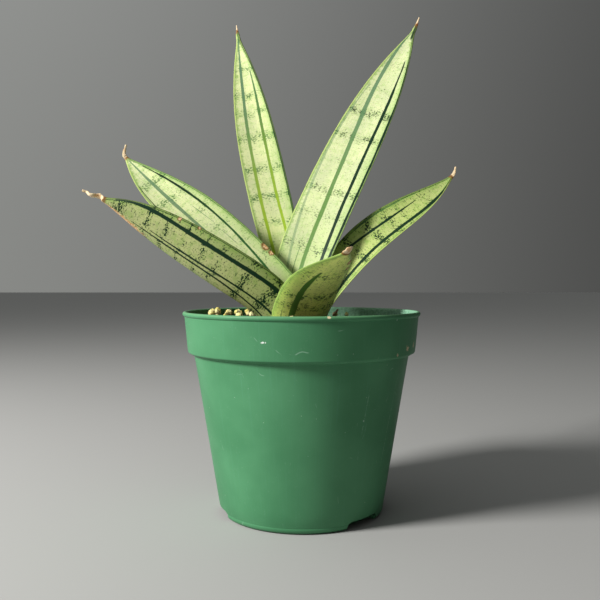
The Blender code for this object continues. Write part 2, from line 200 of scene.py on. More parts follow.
def close_geometry_tree(net, geometry, material):
    """Ends a tree with smooth shading, Realize Instances and Set Material."""
    smooth = net.add("GeometryNodeSetShadeSmooth", {"Geometry": geometry}).outputs[0]
    real = net.add("GeometryNodeRealizeInstances", (smooth,)).outputs[0]
    painted = net.add("GeometryNodeSetMaterial", {"Geometry": real, "Material": material})
    out = net.add("NodeGroupOutput")
    net.put(out.inputs[0], painted.outputs[0])


def grow(name, source, tree, values):
    """Runs a geometry tree on a mesh and keeps the result as a plain mesh object."""
    host = into_scene(name + "_host", source)
    modifier = host.modifiers.new("grow", "NODES")
    modifier.node_group = tree
    for item in tree.interface.items_tree:
        if item.in_out == "INPUT" and item.name in values:
            modifier[item.identifier] = values[item.name]
    graph = bpy.context.evaluated_depsgraph_get()
    graph.update()
    mesh = bpy.data.meshes.new_from_object(host.evaluated_get(graph), preserve_all_data_layers=True,
        depsgraph=graph)
    mesh.name = name
    bpy.data.objects.remove(host)
    return into_scene(name, mesh)


def into_scene(name, data):
    """A new object for the data, linked to the scene."""
    obj = bpy.data.objects.new(name, data)
    bpy.context.scene.collection.objects.link(obj)
    return obj


def close_mesh(bm, name):
    """Turns the working mesh into a named one and frees it."""
    mesh = bpy.data.meshes.new(name)
    bm.to_mesh(mesh)
    bm.free()
    return mesh


def ease(value):
    value = np.clip(value, 0.0, 1.0)
    return value * value * (3.0 - 2.0 * value)


# ------------------------------------------------------------------ leaf shape

CROWN_DEPTH = 14.0 * MM
LEAF_THICK_BASE = 2.6 * MM
LEAF_THICK_MID = 2.3 * MM
LEAF_THICK_TIP = 1.2 * MM
CAD_STATIONS = 32
STATIONS = 300
TIP_INSET = 0.6 * MM
RING_POINTS = 72

# Base point (mm), heading at base, tip and sideways bow, rise at base, tip, bow and
# extra steepness at the stock, length (mm), width (base share, widest half-width in mm,
# where it is widest, taper power, start of the dried awl), roll at base and tip, cup at
# base, middle and tip, awl (half-width in mm, lift), its share of that half-width at
# its start and end, and waviness of the dried awl (mm).
LEAVES = {
    "leaf_left_low": dict(
        at=(-6.5, -13.3), heading=(195.0, 181.5, -6.0), rise=(43.0, 20.9, -4.3, 61.0),
        length=107.0, width=(0.78, 11.4, 0.25, 3.6, 0.92), roll=(-56.0, -54.0),
        cup=(60.0, 29.0, 22.0), awl=(0.9, 0.0), tip=(1.45, 0.55), kink=0.8),
    "leaf_left_high": dict(
        at=(-1.0, -3.3), heading=(166.5, 155.0, 6.5), rise=(29.0, 48.5, 6.0, 71.5),
        length=124.0, width=(0.8, 12.2, 0.51, 2.25, 0.952), roll=(47.0, 53.0),
        cup=(50.0, 25.0, 22.0), awl=(0.9, 60.0), tip=(0.95, 0.45), kink=0.35),
    "leaf_tall_narrow": dict(
        at=(-7.0, 16.5), heading=(125.0, 116.5, 5.5), rise=(71.0, 67.0, -2.5, 45.0),
        length=163.0, width=(0.4, 9.9, 0.42, 2.8, 0.955), roll=(28.0, 36.0),
        cup=(35.0, 19.0, 22.0), awl=(0.9, 5.0), tip=(1.15, 0.22), kink=0.0),
    "leaf_tall_broad": dict(
        at=(-0.5, 7.8), heading=(31.5, 38.5, 2.5), rise=(59.0, 57.5, 1.0, 64.0),
        length=179.5, width=(0.74, 13.0, 0.32, 3.1, 0.955), roll=(-36.0, -33.0),
        cup=(30.0, 13.0, 22.0), awl=(0.9, 8.0), tip=(1.15, 0.3), kink=0.1),
    "leaf_right": dict(
        at=(6.0, 9.5), heading=(9.0, 19.5, -6.5), rise=(34.3, 48.2, 10.6, 87.0),
        length=107.8, width=(0.54, 9.8, 0.46, 2.1, 0.958), roll=(-46.0, -56.0),
        cup=(35.0, 30.0, 22.0), awl=(0.9, 28.0), tip=(0.95, 0.45), kink=0.25),
    "leaf_front_short": dict(
        at=(-2.0, -18.0), heading=(-72.5, -63.5, 4.5), rise=(50.0, 28.5, 4.5, 16.5),
        length=59.4, width=(0.91, 13.0, 0.36, 3.1, 0.955), roll=(9.0, -9.0),
        cup=(60.0, 34.0, 22.0), awl=(1.6, 5.0), tip=(1.1, 0.85), kink=0.1),
}


def centre_line(leaf, t):
    """Points and directions along the leaf at the given shares of its length."""
    turn, rise = leaf["heading"], leaf["rise"]
    awl_start = leaf["width"][4]
    heading = turn[0] + (turn[1] - turn[0]) * t + turn[2] * np.sin(math.pi * t)
    lift = ease((t - awl_start) / (1.0 - awl_start) * 2.0) * leaf["awl"][1]
    climb = (rise[0] + (rise[1] - rise[0]) * t + rise[2] * np.sin(2.0 * math.pi * t)
        + rise[3] * np.exp(-t / 0.1) + lift)
    a, e = np.radians(heading), np.radians(climb)
    along = np.stack([np.cos(e) * np.cos(a), np.cos(e) * np.sin(a), np.sin(e)], -1)
    step = 0.5 * (along[1:] + along[:-1]) * np.diff(t)[:, None] * leaf["length"] * MM
    start = np.array([leaf["at"][0] * MM, leaf["at"][1] * MM, POT_TOP - CROWN_DEPTH])
    centre = start + np.vstack([np.zeros(3), np.cumsum(step, 0)])
    flat = np.stack([np.sin(a), -np.cos(a), 0.0 * a], -1)
    return centre, along, flat


def leaf_spine(name, leaf):
    """A line of stations that carries what the blade tree needs at each of them."""
    share, widest, peak, power, awl_start = leaf["width"]
    t = 1.0 - (1.0 - np.linspace(0.0, 1.0, STATIONS)) ** 1.1
    coarse = 1.0 - (1.0 - np.linspace(0.0, 1.0, CAD_STATIONS)) ** 1.25
    centre, along, flat = centre_line(leaf, t)
    tip = centre_line(leaf, coarse)[0][-1] - along[-1] * TIP_INSET
    centre += (tip - centre[-1]) * t[:, None]
    up = np.cross(flat, along)
    r = np.radians(leaf["roll"][0] + (leaf["roll"][1] - leaf["roll"][0]) * t)[:, None]
    side = np.cos(r) * flat + np.sin(r) * up
    face = np.cos(r) * up - np.sin(r) * flat
    swell = share + (1.0 - share) * np.sin(0.5 * math.pi * np.clip(t / peak, 0.0, 1.0))
    taper = 1.0 - np.clip((t - peak) / (awl_start - peak), 0.0, 1.0) ** power
    blade = np.where(t < peak, swell, taper) * widest * MM
    dry = ease((t - awl_start + 0.006) / 0.012)
    thin, thinner = leaf["tip"]
    awl = leaf["awl"][0] * MM * (thin + (thinner - thin) * ease((t - awl_start) / (1.0 - awl_start)))
    lumps = 0.12 * np.sin(310.0 * t) + 0.08 * np.sin(767.0 * t)
    awl = awl * (1.0 + dry * min(1.0, 3.0 * leaf["kink"]) * lumps)
    half = np.hypot(blade, awl * ease(t / 0.3))
    cup = leaf["cup"]
    low = cup[0] + (cup[1] - cup[0]) * ease(t / 0.4)
    high = cup[1] + (cup[2] - cup[1]) * ease((t - 0.4) / 0.6)
    bend = np.radians(np.where(t < 0.4, low, high))
    thick = LEAF_THICK_BASE + (LEAF_THICK_MID - LEAF_THICK_BASE) * ease(t / 0.35)
    thick = thick + (LEAF_THICK_TIP - LEAF_THICK_MID) * ease((t - 0.35) / 0.6)
    thick = np.minimum(thick, 2.0 * half) * (1.0 - 0.25 * dry)
    wave = np.sin((t - awl_start) / (1.0 - awl_start) * 2.6 * math.pi)
    bow = dry * ease((1.0 - t) / (1.0 - awl_start) * 3.0)
    centre += face * (wave * bow * leaf["kink"] * MM)[:, None]
    # the base closes on its own arc and the tip on a point
    rounds = np.array([0.55, 0.8, 0.95, 1.0])
    closing = np.sqrt(1.0 - rounds ** 2)
    last = centre[-1] + along[-1] * (0.4 * half[-1] * rounds[:, None])
    centre = np.vstack([centre[:1] - along[:1] * 0.2 * MM, centre, last])
    side = np.vstack([side[:1], side, np.repeat(side[-1:], 4, 0)])
    face = np.vstack([face[:1], face, np.repeat(face[-1:], 4, 0)])
    half = np.concatenate([half[:1], half, half[-1] * closing])
    thick = np.concatenate([[0.0], thick, thick[-1] * closing])
    bend = np.concatenate([bend[:1], bend, np.full(4, bend[-1])])
    t = np.concatenate([[0.0], t, np.ones(4)])
    mesh = bpy.data.meshes.new(name + "_spine")
    edges = [(k, k + 1) for k in range(len(t) - 1)]
    mesh.from_pydata([tuple(p) for p in centre], edges, [])
    for label, kind, key, data in (("side", "FLOAT_VECTOR", "vector", side),
        ("face", "FLOAT_VECTOR", "vector", face), ("half", "FLOAT", "value", half),
        ("thick", "FLOAT", "value", thick), ("bend", "FLOAT", "value", bend),
        ("run", "FLOAT", "value", t)):
        layer = mesh.attributes.new(label, kind, "POINT")
        layer.data.foreach_set(key, np.asarray(data, np.float32).ravel())
    return mesh


def make_blade_tree():
    """Sweeps a channelled section along a spine; edges wave and the skin has fine ribs."""
    tree, net, given = new_geometry_tree("leaf_blade", (("Ring points", "Int", RING_POINTS),
            ("Rib count", "Float", 16.0), ("Rib depth", "Float", 0.03), ("Edge wave", "Float", 0.02),
            ("Length mm", "Float", 100.0), ("Seed", "Float", 0.0), ("Skin", "Material", None)))
    spine = given["Geometry"]
    size = net.add("GeometryNodeAttributeDomainSize", (spine,)).outputs["Point Count"]
    columns = net.plus(given["Ring points"], 1.0)
    grid = net.add("GeometryNodeMeshGrid", {"Size X": 1.0, "Size Y": 1.0, "Vertices X": size,
            "Vertices Y": columns})
    spot = net.add("ShaderNodeSeparateXYZ", (net.add("GeometryNodeInputPosition").outputs[0],))
    last = net.minus(size, 1.0)
    station = net.math("ROUND", net.times(net.plus(spot.outputs[0], 0.5), last))

    def pick(label, kind):
        if label == "position":
            source = net.add("GeometryNodeInputPosition").outputs[0]
        else:
            source = net.add("GeometryNodeInputNamedAttribute", (label,), data_type=kind).outputs[0]
        node = net.add("GeometryNodeSampleIndex", data_type=kind, domain="POINT")
        net.put(node.inputs[0], spine)
        net.put(node.inputs["Value"], source)
        net.put(node.inputs["Index"], station)
        return node.outputs[0]

    centre, side, face = (pick(k, "FLOAT_VECTOR") for k in ("position", "side", "face"))
    half, thick, bend, run = (pick(k, "FLOAT") for k in ("half", "thick", "bend", "run"))
    turn = net.times(net.plus(spot.outputs[1], 0.5), 2.0 * math.pi)
    across = net.times(net.math("COSINE", turn), -1.0)
    front = net.math("SINE", turn)
    width = net.math("ABSOLUTE", across)
    body = net.minus(1.0, net.math("POWER", width, 2.4))
    body = net.math("POWER", net.math("MAXIMUM", body, 0.0), 0.6)
    half_mm = net.times(half, 1000.0)
    along_mm = net.times(run, given["Length mm"])
    rib_spot = net.vector(net.times(across, given["Rib count"]), net.times(along_mm, 0.05),
        net.plus(given["Seed"], net.times(front, 0.2)))
    rib = net.minus(net.noise(rib_spot, 1.0, 3.0), 0.5)
    swell = net.plus(1.0, net.times(rib, given["Rib depth"]))
    share = net.step(front, -0.001, 0.001, -0.6, 0.4)
    depth = net.times(net.times(net.times(share, thick), body), swell)
    edge_spot = net.vector(net.times(along_mm, 0.11), net.times(net.math("SIGN", across), 7.0),
        given["Seed"])
    edge = net.minus(net.noise(edge_spot, 1.0, 3.0), 0.62)
    edge = net.times(edge, net.times(net.math("POWER", width, 3.0), given["Edge wave"]))
    angle = net.times(net.times(bend, across), net.plus(1.0, edge))
    radius = net.math("DIVIDE", half, bend)
    reach = net.minus(radius, depth)
    out = net.scale(side, net.times(reach, net.math("SINE", angle)))
    rise = net.minus(radius, net.times(reach, net.math("COSINE", angle)))
    place = net.vmath("ADD", net.vmath("ADD", centre, out), net.scale(face, rise))
    stored = grid.outputs[0]
    edge_mm = net.times(net.minus(1.0, width), half_mm)
    for label, value in (("blade", net.vector(across, run, front)), ("span",
            net.vector(half_mm, along_mm, edge_mm))):
        stored = net.add("GeometryNodeStoreNamedAttribute", {"Geometry": stored, "Name": label,
                "Value": value}, data_type="FLOAT_VECTOR", domain="POINT").outputs[0]
    moved = net.add("GeometryNodeSetPosition", {"Geometry": stored, "Position": place})
    welded = net.add("GeometryNodeMergeByDistance", {"Geometry": moved.outputs[0],
            "Distance": 0.000002})
    close_geometry_tree(net, welded.outputs[0], given["Skin"])
    return tree


# ------------------------------------------------------------------ leaf skin

BLACK_GREEN = (0.005, 0.028, 0.011)
DEEP_GREEN = (0.045, 0.15, 0.04)
LEAF_GREEN = (0.085, 0.21, 0.035)
BLUE_GREEN = (0.105, 0.22, 0.112)
LIME = (0.33, 0.5, 0.02)
GRASS = (0.28, 0.44, 0.11)
OLIVE = (0.33, 0.45, 0.13)
CREAM = (0.8, 0.64, 0.42)
TAN = (0.6, 0.29, 0.075)
RUST = (0.23, 0.07, 0.02)

# pale: skin colour; root: colour near the soil (both carry painted shade on the right leaf and
# painted light on the front short leaf); flecks: how many dark flecks; haze: how green the blade
# turns in blotches; line: colour of the edge line and the side it is on, whose half of the blade
# also gets painted shade; dry: where the dead tip begins; stripes: (path across the blade as
# c0 + c1 t + c2 t^2, half-width in mm, from, to, colour near the base, colour near the tip,
# strength); bands: (t, half-width, strength); burn: (side, from, depth in mm) of a dried edge;
# spots: (t, across, size in mm) of small wounds
LOOKS = {
    "leaf_left_low": dict(
        pale=(0.49, 0.53, 0.225), root=(0.27, 0.34, 0.095), flecks=1.0, haze=0.55,
        band=BLACK_GREEN, line=BLACK_GREEN, line_and_shade_side=-1.0, dry=0.922,
        stripes=(((-0.81, 1.2, -1.56), 0.78, 0.0, 0.87, BLACK_GREEN, BLACK_GREEN, 1.0),
                 ((-0.03, 0.75, -0.61), 0.46, 0.0, 0.71, BLACK_GREEN, BLACK_GREEN, 1.0),
                 ((0.59, -0.8, 0.74), 0.46, 0.0, 0.79, BLACK_GREEN, BLACK_GREEN, 1.0),
                 ((-0.3, 0.05, 0.0), 0.12, 0.25, 0.62, DEEP_GREEN, DEEP_GREEN, 0.3)),
        bands=((0.2, 0.04, 1.0), (0.31, 0.03, 0.9), (0.43, 0.02, 0.7), (0.5, 0.018, 0.8),
               (0.58, 0.016, 0.8), (0.655, 0.02, 0.8), (0.73, 0.02, 0.9), (0.85, 0.045, 0.9)),
        burn=(1.0, 0.7, 2.6), spots=((0.63, -0.92, 1.2), (0.55, -0.96, 1.0))),
    "leaf_left_high": dict(
        pale=(0.8, 0.86, 0.46), root=OLIVE, flecks=0.35, haze=0.5,
        band=DEEP_GREEN, line=DEEP_GREEN, line_and_shade_side=1.0, dry=0.953,
        stripes=(((-0.55, 0.65, 0.0), 0.85, 0.2, 0.93, BLUE_GREEN, BLUE_GREEN, 0.85),
                 ((0.02, 1.51, -0.79), 0.54, 0.0, 0.88, DEEP_GREEN, BLACK_GREEN, 1.0),
                 ((0.3, 0.0, 0.0), 0.26, 0.535, 0.63, BLUE_GREEN, BLUE_GREEN, 0.95),
                 ((0.27, 0.0, 0.0), 0.3, 0.42, 0.49, BLUE_GREEN, BLUE_GREEN, 0.95),
                 ((-0.86, 0.0, 0.0), 0.3, 0.6, 0.82, DEEP_GREEN, BLACK_GREEN, 0.95)),
        bands=((0.32, 0.04, 0.5), (0.42, 0.03, 0.4), (0.51, 0.03, 0.5), (0.6, 0.025, 0.5),
               (0.7, 0.03, 0.8), (0.8, 0.035, 0.8)),
        burn=(0.0, 2.0, 0.0), spots=((0.345, 0.98, 3.0), (0.315, 0.94, 1.8))),
    "leaf_tall_narrow": dict(
        pale=(0.78, 0.83, 0.43), root=(0.62, 0.78, 0.1), flecks=0.3,
        haze=0.45, band=DEEP_GREEN, line=BLACK_GREEN, line_and_shade_side=1.0, dry=0.985,
        stripes=(((-0.38, -0.3, 0.42), 0.72, 0.1, 0.95, LIME, BLUE_GREEN, 0.95),
                 ((0.79, -1.77, 1.8), 0.66, 0.1, 0.83, LIME, DEEP_GREEN, 0.95),
                 ((0.95, 0.0, 0.0), 0.4, 0.25, 0.97, DEEP_GREEN, BLACK_GREEN, 0.85),
                 ((0.1, 0.0, 0.0), 1.3, 0.935, 0.985, DEEP_GREEN, DEEP_GREEN, 0.8)),
        bands=((0.27, 0.018, 0.5), (0.34, 0.018, 0.8), (0.42, 0.022, 1.0), (0.51, 0.022, 0.9),
               (0.61, 0.026, 1.0), (0.69, 0.018, 0.8), (0.75, 0.022, 0.9), (0.84, 0.018, 0.8),
               (0.92, 0.03, 0.4)),
        burn=(0.0, 2.0, 0.0), spots=()),
    "leaf_tall_broad": dict(
        pale=(0.7, 0.755, 0.415), root=(0.34, 0.45, 0.15), flecks=0.4, haze=0.4,
        band=BLACK_GREEN, line=BLACK_GREEN, line_and_shade_side=1.0, dry=0.982,
        stripes=(((-0.06, -2.92, 2.58), 0.6, 0.08, 0.74, BLUE_GREEN, BLUE_GREEN, 0.5),
                 ((-0.05, 0.51, -1.43), 0.95, 0.0, 0.95, LEAF_GREEN, BLUE_GREEN, 0.9),
                 ((0.84, -1.02, 0.88), 0.74, 0.0, 0.84, BLACK_GREEN, BLACK_GREEN, 1.0),
                 ((0.92, -0.08, 0.18), 0.55, 0.05, 0.93, BLACK_GREEN, BLACK_GREEN, 1.0),
                 ((-0.3, 0.0, 0.0), 0.3, 0.12, 0.24, DEEP_GREEN, DEEP_GREEN, 0.9),
                 ((0.45, 0.0, 0.0), 2.6, 0.925, 0.985, DEEP_GREEN, BLACK_GREEN, 0.9)),
        bands=((0.24, 0.022, 0.7), (0.33, 0.022, 0.5), (0.4, 0.018, 0.8), (0.49, 0.014, 0.3),
               (0.57, 0.022, 0.9), (0.65, 0.024, 1.0), (0.73, 0.016, 0.4), (0.82, 0.018, 0.4)),
        burn=(0.0, 2.0, 0.0), spots=()),
    "leaf_right": dict(
        # pale and root are darkened as painted shade: the shadow of the tall broad leaf over this
        # leaf, darkest near its base
        pale=(0.48, 0.56, 0.19), root=(0.11, 0.16, 0.04), flecks=0.85, haze=0.7,
        band=BLACK_GREEN, line=BLACK_GREEN, line_and_shade_side=-1.0, dry=0.958,
        stripes=(((0.99, -1.47, 1.44), 0.85, 0.0, 0.95, BLACK_GREEN, BLACK_GREEN, 1.0),
                 ((-2.25, 6.45, -5.2), 0.62, 0.36, 0.76, BLACK_GREEN, BLACK_GREEN, 1.0),
                 ((-0.86, 0.0, 0.0), 0.3, 0.45, 0.78, BLACK_GREEN, DEEP_GREEN, 0.9)),
        bands=((0.3, 0.035, 0.9), (0.43, 0.03, 0.8), (0.54, 0.03, 1.0), (0.62, 0.025, 0.9),
               (0.68, 0.02, 0.5), (0.8, 0.03, 0.4)),
        burn=(0.0, 2.0, 0.0), spots=()),
    "leaf_front_short": dict(
        # pale and root are brightened as painted light: the blade's back faces down, away from the
        # lamp
        pale=(0.86, 0.96, 0.28), root=(0.7, 0.86, 0.24), flecks=0.55,
        haze=0.4, band=DEEP_GREEN, line=GRASS, line_and_shade_side=1.0, dry=0.955,
        stripes=(((0.21, 1.0, -1.08), 1.05, 0.0, 0.73, LEAF_GREEN, LEAF_GREEN, 1.0),
                 ((0.54, 0.57, 0.0), 0.28, 0.0, 0.3, DEEP_GREEN, DEEP_GREEN, 0.9)),
        bands=((0.36, 0.06, 0.7), (0.46, 0.06, 1.0), (0.68, 0.08, 0.6)),
        burn=(-1.0, 0.1, 0.6), spots=((0.8, -0.8, 1.9), (0.72, -0.78, 1.3))),
}


def make_leaf_material(name, leaf, look, seed):
    """Pale skin with stripes, broken cross bands, flecks, edge lines and a dried tip."""
    material, net, shader = new_material(name + "_skin")
    blade = net.add("ShaderNodeAttribute", attribute_name="blade", attribute_type="GEOMETRY")
    span = net.add("ShaderNodeAttribute", attribute_name="span", attribute_type="GEOMETRY")
    b = net.add("ShaderNodeSeparateXYZ", (blade.outputs["Vector"],)).outputs
    g = net.add("ShaderNodeSeparateXYZ", (span.outputs["Vector"],)).outputs
    across, run, front = b[0], b[1], b[2]
    half_mm, along_mm, edge_mm = g[0], g[1], g[2]
    across_mm = net.times(across, half_mm)
    layer = net.times_plus(net.step(front, -0.02, 0.02), 9.0, seed * 3.7)
    skin = net.vector(across_mm, along_mm, layer)

    def field(stretch, size, detail=3.0, rough=0.5):
        return net.noise(net.vmath("MULTIPLY", skin, stretch), size, detail, rough)

    streak = field((1.0, 0.06, 1.0), 2.6)
    broad = field((1.0, 0.7, 1.0), 0.1, 2.0)
    blotch = field((0.8, 1.3, 1.0), 0.42, 4.0, 0.6)
    grain = field((1.0, 0.7, 1.0), 2.3, 3.0, 0.65)
    patch = field((1.0, 1.0, 1.0), 0.8, 2.0)

    # ground colour: pale, greener in blotches, along fine streaks and towards the edges; painted
    # shade makes the half on the line side greener and darker
    pale, band_colour = look["pale"], look["band"]
    green = (pale[0] * 0.52, pale[1] * 0.72, pale[2] * 0.42)
    dull = (pale[0] * 0.78, pale[1] * 0.8, pale[2] * 0.86)
    colour = net.mix(net.step(run, 0.05, 0.4), look["root"], pale)
    colour = net.mix(net.step(broad, 0.35, 0.7, 0.0, 0.6), colour, dull)
    colour = net.mix(net.step(blotch, 0.46, 0.68, 0.0, look["haze"]), colour, green)
    colour = net.mix(net.step(streak, 0.48, 0.74, 0.0, 0.4), colour, green)
    border = net.times_plus(blotch, 3.6, -1.0)
    border = net.step(net.minus(edge_mm, border), -0.2, 1.4, 0.75, 0.0)
    colour = net.mix(border, colour, GRASS)
    # painted shade: the half of the blade on the line side turns darker green, as if turned away from
    # the light
    painted_shade_side = net.times(across, look["line_and_shade_side"])
    colour = net.mix(net.step(painted_shade_side, 0.4, 1.0, 0.0, 0.6), colour, green)

    # flecks gather in broken cross bands and lie thinly between them
    warp = net.minus(field((1.0, 0.1, 1.0), 0.3), 0.5)
    bent = net.times_plus(warp, 6.0 / leaf["length"], run)
    stops = {0.0: 0.0}
    for centre, half, level in look["bands"]:
        stops.setdefault(centre - half, 0.0)
        stops[centre] = level
        stops.setdefault(centre + half, 0.0)
    band = net.curve(bent, sorted(stops.items()))
    band = net.times(band, net.step(field((0.5, 0.2, 1.0), 0.5, 2.0), 0.34, 0.6, 0.35, 1.0))
    crumb = field((0.85, 1.35, 1.0), 1.05, 3.0, 0.72)
    lift = net.times(band, 0.15)
    lift = net.plus(lift, net.step(patch, 0.5, 0.7, 0.0, 0.05 * look["flecks"]))
    fleck = net.step(net.plus(crumb, lift), 0.612 - 0.022 * look["flecks"], 0.647
        - 0.022 * look["flecks"])
    level = net.times_plus(band, 0.4, 0.35 + 0.4 * look["flecks"])
    colour = net.mix(net.times(band, 0.38), colour, green)
    colour = net.mix(net.times(fleck, level), colour, band_colour)

    # long stripes
    sway = net.minus(field((0.25, 0.035, 1.0), 1.0), 0.5)
    ragged = net.minus(field((2.0, 0.6, 1.0), 1.3, 3.0, 0.6), 0.5)
    for path, width, first, last, low, high, level in look["stripes"]:
        line = net.times_plus(run, path[2], path[1])
        line = net.times_plus(run, line, path[0])
        away = net.times(net.minus(across, line), half_mm)
        away = net.math("ABSOLUTE", net.times_plus(sway, 0.9, away))
        away = net.times_plus(ragged, 0.34, away)
        away = net.times_plus(band, -0.12, away)
        narrow = net.times(net.step(run, first - 0.01, first + 0.08, 0.45, 1.0),
            net.step(run, last - 0.16, last, 1.0, 0.4))
        size = net.times(narrow, width)
        mask = net.fade(net.minus(away, size), -0.14, 0.12)
        mask = net.times(mask, net.step(run, first - 0.012, first + 0.002))
        mask = net.times(mask, net.step(run, last - 0.004, last + 0.006, level, 0.0))
        mask = net.times(mask, net.step(streak, 0.2, 0.42, 0.93, 1.0))
        colour = net.mix(mask, colour, net.mix(net.step(run, 0.3, 0.78), low, high))

    # pale rim with a dark line inside it; on the line side the rim turns to the line colour, partly a
    # real margin line and partly painted shade of an edge turned away from the light
    rim_noise = net.times(field((1.0, 1.0, 1.0), 0.5, 2.0), 0.5)
    rim = net.fade(net.minus(edge_mm, rim_noise), 0.05, 0.25)
    on_side = net.step(net.times(across, look["line_and_shade_side"]), 0.2, 0.5, 0.3, 1.0)
    inner = net.math("ABSOLUTE", net.minus(edge_mm, net.plus(rim_noise, 0.5)))
    inner = net.times(net.fade(inner, 0.08, 0.24), on_side)
    colour = net.mix(net.times(inner, 0.85), colour, look["line"])
    rim_and_shaded_edge_colour = net.mix(net.step(net.times(across, look["line_and_shade_side"]), 0.2, 0.5, 0.0, 0.8),
        (0.46, 0.56, 0.16), look["line"])
    colour = net.mix(net.times(rim, 0.75), colour, rim_and_shaded_edge_colour)

    # dried places: the tip, a burnt stretch of edge and small wounds
    start = look["dry"]
    tip = net.times_plus(net.minus(patch, 0.5), 0.02, run)
    dry = net.step(tip, start - 0.006, start + 0.002)
    side, burn_from, burn_mm = look["burn"]
    burn = net.fade(net.minus(edge_mm, net.times(patch, 2.0 * burn_mm)), -0.1, 0.25)
    burn = net.times(burn, net.step(net.times(across, side), 0.3, 0.6))
    if side > 0.0:
        burn = net.times(burn, net.step(run, burn_from, burn_from + 0.08))
    else:
        burn = net.times(burn, net.fade(run, burn_from + 0.32, burn_from + 0.4))
    ring = net.times(net.step(tip, start - 0.02, start - 0.008), net.fade(tip, start + 0.002,
            start + 0.014))
    wound, halo = [burn], [ring]
    for place, where, size in look["spots"]:
        dx = net.times(net.minus(across, where), half_mm)
        dy = net.times(net.minus(run, place), leaf["length"])
        far = net.vmath("LENGTH", net.vector(dx, dy, 0.0))
        far = net.times_plus(net.minus(grain, 0.5), 1.6, far)
        wound.append(net.fade(far, 0.35 * size, 0.5 * size))
        halo.append(net.fade(far, 0.55 * size, 0.9 * size))
    dried = net.mix(net.step(grain, 0.36, 0.6), CREAM, TAN)
    dried_tip = net.mix(net.step(field((1.0, 0.3, 1.0), 1.1, 2.0), 0.42, 0.72, 0.0, 0.7), CREAM, TAN)
    colour = net.mix(net.times(net.most(halo), 0.85), colour, RUST)
    colour = net.mix(net.most(wound), colour, dried)
    colour = net.mix(dry, colour, dried_tip)

    dead = net.most(wound + [dry])
    rough = net.times_plus(grain, 0.16, 0.38)
    rough = net.times_plus(dead, 0.3, rough)
    height = net.times_plus(grain, 0.35, net.times(streak, 0.5))
    height = net.times_plus(net.times(dead, grain), 2.0, height)
    set_surface(net, shader, colour, rough, height, 0.35, 0.00025)
    shader.inputs["Specular IOR Level"].default_value = 0.16
    shader.inputs["Subsurface Weight"].default_value = 0.05
    shader.inputs["Subsurface Radius"].default_value = (0.6, 1.0, 0.3)
    shader.inputs["Subsurface Scale"].default_value = 0.0012
    return material


def make_leaves():
    tree = make_blade_tree()
    for index, (name, leaf) in enumerate(LEAVES.items()):
        material = make_leaf_material(name, leaf, LOOKS[name], index + 1.0)
        blade = grow(name + "_blade", leaf_spine(name, leaf), tree, {"Ring points": RING_POINTS,
                "Rib count": 15.0, "Rib depth": 0.035, "Edge wave": 0.03, "Length mm": leaf["length"],
                "Seed": 4.0 * index + 1.0, "Skin": material})
        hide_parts(name)
        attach(blade, "root")


# ------------------------------------------------------------------ nursery pot

WALL = 1.1 * MM
FLOOR = 1.3 * MM
LIP_HEIGHT = 1.9 * MM
LIP_PROUD = 0.8 * MM
COLLAR_DEPTH = 17.0 * MM
COLLAR_DRAFT = 1.4 * MM
COLLAR_STEP = 2.5 * MM
CORNER = 2.0 * MM
BASE_RADIUS = 34.3 * MM
NOTCH_COUNT = 3
NOTCH_FIRST = math.radians(-44.0)
NOTCH_WIDTH = 18.0 * MM
NOTCH_HEIGHT = 3.3 * MM
NOTCH_REACH = 5.0 * MM
COLLAR_LOW = POT_TOP - COLLAR_DEPTH
COLLAR_TOP_RADIUS = RIM_RADIUS - LIP_PROUD
COLLAR_LOW_RADIUS = COLLAR_TOP_RADIUS - COLLAR_DRAFT
WALL_TOP_RADIUS = COLLAR_LOW_RADIUS - COLLAR_STEP


def wall_radius(height):
    return BASE_RADIUS + (WALL_TOP_RADIUS - BASE_RADIUS) * height / COLLAR_LOW


def inner_radius(height):
    if height < COLLAR_LOW - WALL:
        return wall_radius(height) - WALL
    share = (height - COLLAR_LOW) / (COLLAR_DEPTH - LIP_HEIGHT)
    return COLLAR_LOW_RADIUS + COLLAR_DRAFT * share - WALL


def arc(centre, radius, first, last, steps):
    points = []
    for k in range(steps + 1):
        angle = math.radians(first + (last - first) * k / steps)
        points.append((centre[0] + radius * math.cos(angle), centre[1] + radius * math.sin(angle)))
    return points


